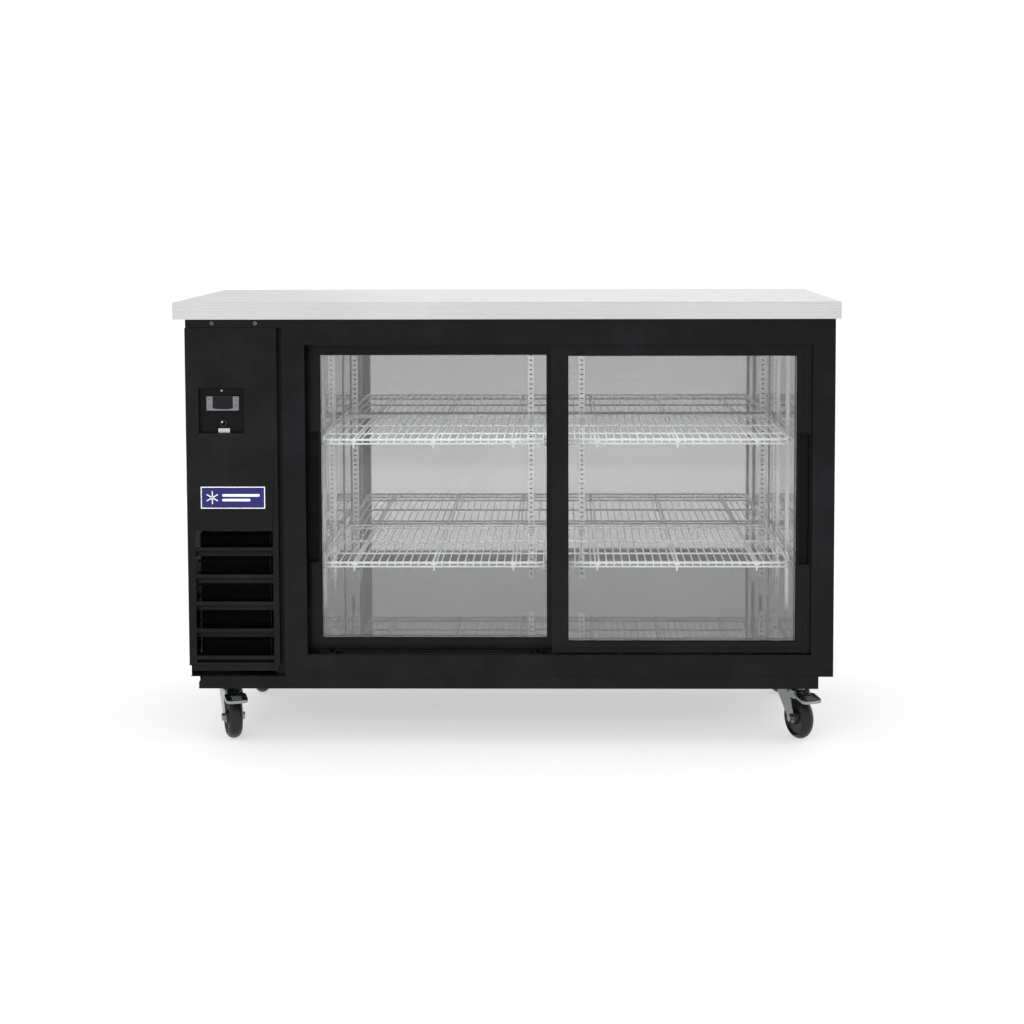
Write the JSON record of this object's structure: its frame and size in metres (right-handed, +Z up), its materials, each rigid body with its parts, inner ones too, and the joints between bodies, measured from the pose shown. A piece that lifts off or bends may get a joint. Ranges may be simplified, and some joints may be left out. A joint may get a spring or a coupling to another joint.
{
  "type": "under counter fridge",
  "caption": "Low back-bar fridge with sliding glass doors, wire shelves, a louvred machine bay, a steel worktop and braked casters.",
  "frame": {"origin": "on the floor, under the middle of the worktop", "axes": "+X to the viewer's right along the worktop, +Y to the back, +Z up"},
  "size_m": [1.549, 0.711, 1.045],
  "materials": {
    "worktop_steel": "satin",
    "liner_steel": "satin",
    "standard_steel": "satin",
    "clip_steel": "satin",
    "black_panel": "satin",
    "black_frame": "satin",
    "black_plastic": "satin",
    "insulation": "matte",
    "badge": "gloss",
    "controller_plastic": "satin",
    "key_grey": "satin",
    "switch_black": "satin",
    "chrome": "polished",
    "white_epoxy": "satin",
    "diffuser": "satin",
    "coil_fins": "satin",
    "compressor_black": "gloss",
    "copper": "satin",
    "galvanised": "satin",
    "zinc": "gloss",
    "wheel_black": "satin",
    "nylon": "satin",
    "door_glass": "polished",
    "fan_plastic": "satin"
  },
  "bodies": {
    "cabinet": {"worktop_skin": "worktop_steel", "outer_panels": "black_panel", "foam_core": "insulation", "liner_panels": "liner_steel", "base_plinth": "black_panel", "door_frame": "black_frame", "door_tracks": "black_plastic", "top_strip": "black_panel", "front_cover": "black_panel", "louvre_blades": "black_panel", "badge_plate": "badge", "control_pocket": "black_plastic", "controller_body": "controller_plastic", "switch_bush": "switch_black", "shelf_lower_left": "white_epoxy", "shelf_lower_right": "white_epoxy", "shelf_upper_left": "white_epoxy", "shelf_upper_right": "white_epoxy", "shelf_standards": "standard_steel", "shelf_clips": "clip_steel", "light_strip": "diffuser", "condenser_coil": "coil_fins", "evaporator_coil": "coil_fins", "compressor": "compressor_black", "refrigerant_lines": "copper", "fan_shroud": "galvanised", "fan_motors": "galvanised", "condensate_pan": "black_plastic", "inlet_gland": "black_plastic", "caster_plates": "zinc", "fasteners": "zinc"},
    "door_left": {"door_left_frame": "black_frame", "door_left_glass": "door_glass", "door_left_pull": "black_plastic"},
    "door_left_roller_1": {"door_left_roller_1": "nylon"},
    "door_left_roller_2": {"door_left_roller_2": "nylon"},
    "door_right": {"door_right_frame": "black_frame", "door_right_glass": "door_glass", "door_right_pull": "black_plastic"},
    "door_right_roller_1": {"door_right_roller_1": "nylon"},
    "door_right_roller_2": {"door_right_roller_2": "nylon"},
    "caster_fork_front_left": {"caster_fork_front_left": "zinc"},
    "caster_wheel_front_left": {"caster_wheel_front_left": "wheel_black"},
    "brake_pedal_front_left": {"brake_pedal_front_left": "zinc"},
    "caster_fork_rear_left": {"caster_fork_rear_left": "zinc"},
    "caster_wheel_rear_left": {"caster_wheel_rear_left": "wheel_black"},
    "brake_pedal_rear_left": {"brake_pedal_rear_left": "zinc"},
    "caster_fork_front_right": {"caster_fork_front_right": "zinc"},
    "caster_wheel_front_right": {"caster_wheel_front_right": "wheel_black"},
    "brake_pedal_front_right": {"brake_pedal_front_right": "zinc"},
    "caster_fork_rear_right": {"caster_fork_rear_right": "zinc"},
    "caster_wheel_rear_right": {"caster_wheel_rear_right": "wheel_black"},
    "brake_pedal_rear_right": {"brake_pedal_rear_right": "zinc"},
    "key_set": {"key_set": "key_grey"},
    "key_down": {"key_down": "key_grey"},
    "key_defrost": {"key_defrost": "key_grey"},
    "key_up": {"key_up": "key_grey"},
    "switch_lever": {"switch_lever": "chrome"},
    "condenser_fan": {"condenser_fan": "fan_plastic"},
    "evaporator_fan": {"evaporator_fan": "fan_plastic"}
  },
  "joints": [
    {"name": "door_left_slide", "type": "slide", "parent": "cabinet", "child": "door_left", "axis": [1, 0, 0], "range_m": [0, 0.575]},
    {"name": "door_left_roller_1_spin", "type": "hinge", "parent": "door_left", "child": "door_left_roller_1", "pos_m": [-0.42, -0.28, 0.21], "axis": [0, 1, 0], "continuous": true},
    {"name": "door_left_roller_2_spin", "type": "hinge", "parent": "door_left", "child": "door_left_roller_2", "pos_m": [0.0717, -0.28, 0.21], "axis": [0, 1, 0], "continuous": true},
    {"name": "door_right_slide", "type": "slide", "parent": "cabinet", "child": "door_right", "axis": [1, 0, 0], "range_m": [-0.575, 0]},
    {"name": "door_right_roller_1_spin", "type": "hinge", "parent": "door_right", "child": "door_right_roller_1", "pos_m": [0.1636, -0.315, 0.21], "axis": [0, 1, 0], "continuous": true},
    {"name": "door_right_roller_2_spin", "type": "hinge", "parent": "door_right", "child": "door_right_roller_2", "pos_m": [0.6553, -0.315, 0.21], "axis": [0, 1, 0], "continuous": true},
    {"name": "caster_swivel_front_left", "type": "hinge", "parent": "cabinet", "child": "caster_fork_front_left", "pos_m": [-0.671, -0.245, 0.12], "axis": [0, 0, 1], "continuous": true},
    {"name": "wheel_spin_front_left", "type": "hinge", "parent": "caster_fork_front_left", "child": "caster_wheel_front_left", "pos_m": [-0.65863, -0.28093, 0.051], "axis": [0.9455, 0.3256, 0], "continuous": true},
    {"name": "brake_pedal_front_left_press", "type": "hinge", "parent": "caster_fork_front_left", "child": "brake_pedal_front_left", "pos_m": [-0.6557, -0.28944, 0.113], "axis": [-0.9455, -0.3256, 0], "range_deg": [0, 16]},
    {"name": "caster_swivel_rear_left", "type": "hinge", "parent": "cabinet", "child": "caster_fork_rear_left", "pos_m": [-0.671, 0.198, 0.12], "axis": [0, 0, 1], "continuous": true},
    {"name": "wheel_spin_rear_left", "type": "hinge", "parent": "caster_fork_rear_left", "child": "caster_wheel_rear_left", "pos_m": [-0.65863, 0.16207, 0.051], "axis": [0.9455, 0.3256, 0], "continuous": true},
    {"name": "brake_pedal_rear_left_press", "type": "hinge", "parent": "caster_fork_rear_left", "child": "brake_pedal_rear_left", "pos_m": [-0.6557, 0.15356, 0.113], "axis": [-0.9455, -0.3256, 0], "range_deg": [0, 16]},
    {"name": "caster_swivel_front_right", "type": "hinge", "parent": "cabinet", "child": "caster_fork_front_right", "pos_m": [0.677, -0.245, 0.12], "axis": [0, 0, 1], "continuous": true},
    {"name": "wheel_spin_front_right", "type": "hinge", "parent": "caster_fork_front_right", "child": "caster_wheel_front_right", "pos_m": [0.69185, -0.27998, 0.051], "axis": [0.9205, 0.3907, 0], "continuous": true},
    {"name": "brake_pedal_front_right_press", "type": "hinge", "parent": "caster_fork_front_right", "child": "brake_pedal_front_right", "pos_m": [0.69536, -0.28826, 0.113], "axis": [-0.9205, -0.3907, 0], "range_deg": [0, 16]},
    {"name": "caster_swivel_rear_right", "type": "hinge", "parent": "cabinet", "child": "caster_fork_rear_right", "pos_m": [0.677, 0.198, 0.12], "axis": [0, 0, 1], "continuous": true},
    {"name": "wheel_spin_rear_right", "type": "hinge", "parent": "caster_fork_rear_right", "child": "caster_wheel_rear_right", "pos_m": [0.69185, 0.16302, 0.051], "axis": [0.9205, 0.3907, 0], "continuous": true},
    {"name": "brake_pedal_rear_right_press", "type": "hinge", "parent": "caster_fork_rear_right", "child": "brake_pedal_rear_right", "pos_m": [0.69536, 0.15474, 0.113], "axis": [-0.9205, -0.3907, 0], "range_deg": [0, 16]},
    {"name": "key_set_press", "type": "slide", "parent": "cabinet", "child": "key_set", "axis": [0, 1, 0], "range_m": [0, 0.0006], "stiffness_N_per_m": 400},
    {"name": "key_down_press", "type": "slide", "parent": "cabinet", "child": "key_down", "axis": [0, 1, 0], "range_m": [0, 0.0006], "stiffness_N_per_m": 400},
    {"name": "key_defrost_press", "type": "slide", "parent": "cabinet", "child": "key_defrost", "axis": [0, 1, 0], "range_m": [0, 0.0006], "stiffness_N_per_m": 400},
    {"name": "key_up_press", "type": "slide", "parent": "cabinet", "child": "key_up", "axis": [0, 1, 0], "range_m": [0, 0.0006], "stiffness_N_per_m": 400},
    {"name": "light_switch_toggle", "type": "hinge", "parent": "cabinet", "child": "switch_lever", "pos_m": [-0.6626, -0.3262, 0.761], "axis": [1, 0, 0], "range_deg": [0, 24]},
    {"name": "condenser_fan_spin", "type": "hinge", "parent": "cabinet", "child": "condenser_fan", "pos_m": [-0.64, -0.2375, 0.345], "axis": [0, 1, 0], "continuous": true},
    {"name": "evaporator_fan_spin", "type": "hinge", "parent": "cabinet", "child": "evaporator_fan", "pos_m": [-0.59, -0.0215, 0.77], "axis": [0, 1, 0], "continuous": true}
  ],
  "couplings": [
    {"joint": "door_left_roller_1_spin", "follows": "door_left_slide", "rad_per_m": 105.26},
    {"joint": "door_left_roller_2_spin", "follows": "door_left_slide", "rad_per_m": 105.26},
    {"joint": "door_right_roller_1_spin", "follows": "door_right_slide", "rad_per_m": 105.26},
    {"joint": "door_right_roller_2_spin", "follows": "door_right_slide", "rad_per_m": 105.26}
  ]
}
